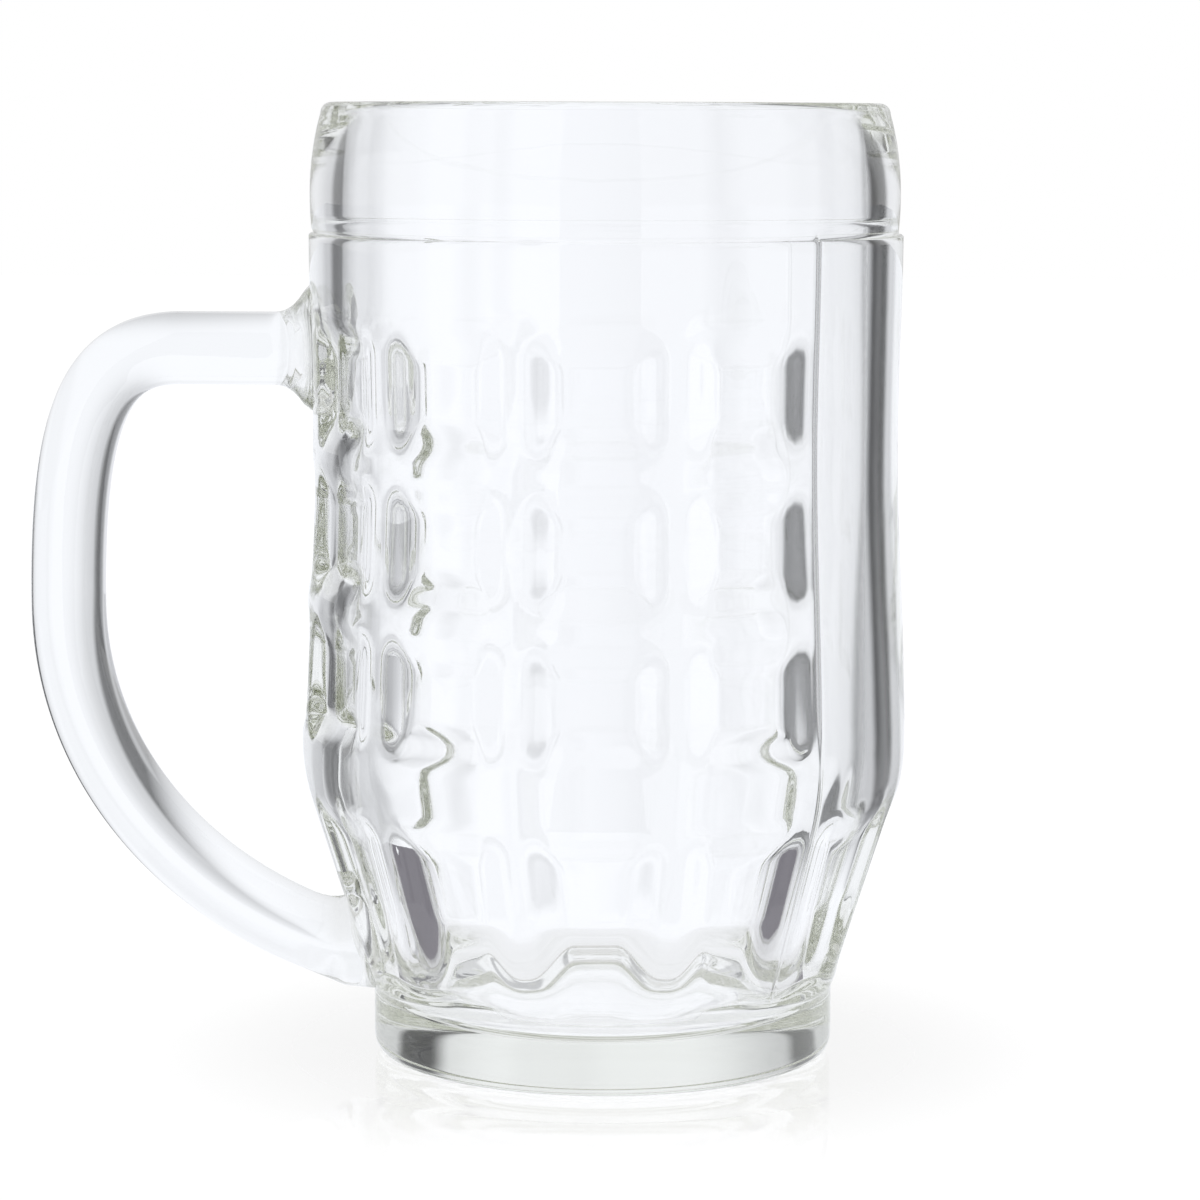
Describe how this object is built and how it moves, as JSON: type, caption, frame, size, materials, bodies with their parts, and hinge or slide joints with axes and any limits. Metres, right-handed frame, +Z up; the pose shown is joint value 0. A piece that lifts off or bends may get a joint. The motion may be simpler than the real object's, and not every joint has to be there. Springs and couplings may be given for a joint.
{
  "type": "beer mug",
  "caption": "Heavy pressed clear-glass beer mug with a dimpled wall, smooth front panel, fluted taper, thick foot and a curved glass handle fused on at both ends.",
  "frame": {"origin": "middle of the flat underside, on the table", "axes": "+Z up along the mug's axis, -X towards the handle, +X towards the smooth panel"},
  "size_m": [0.1367, 0.0942, 0.148],
  "materials": {
    "clear_glass": "pressed and fire-polished"
  },
  "bodies": {
    "root": {"glass_body": "clear_glass", "handle": "clear_glass"}
  },
  "joints": []
}
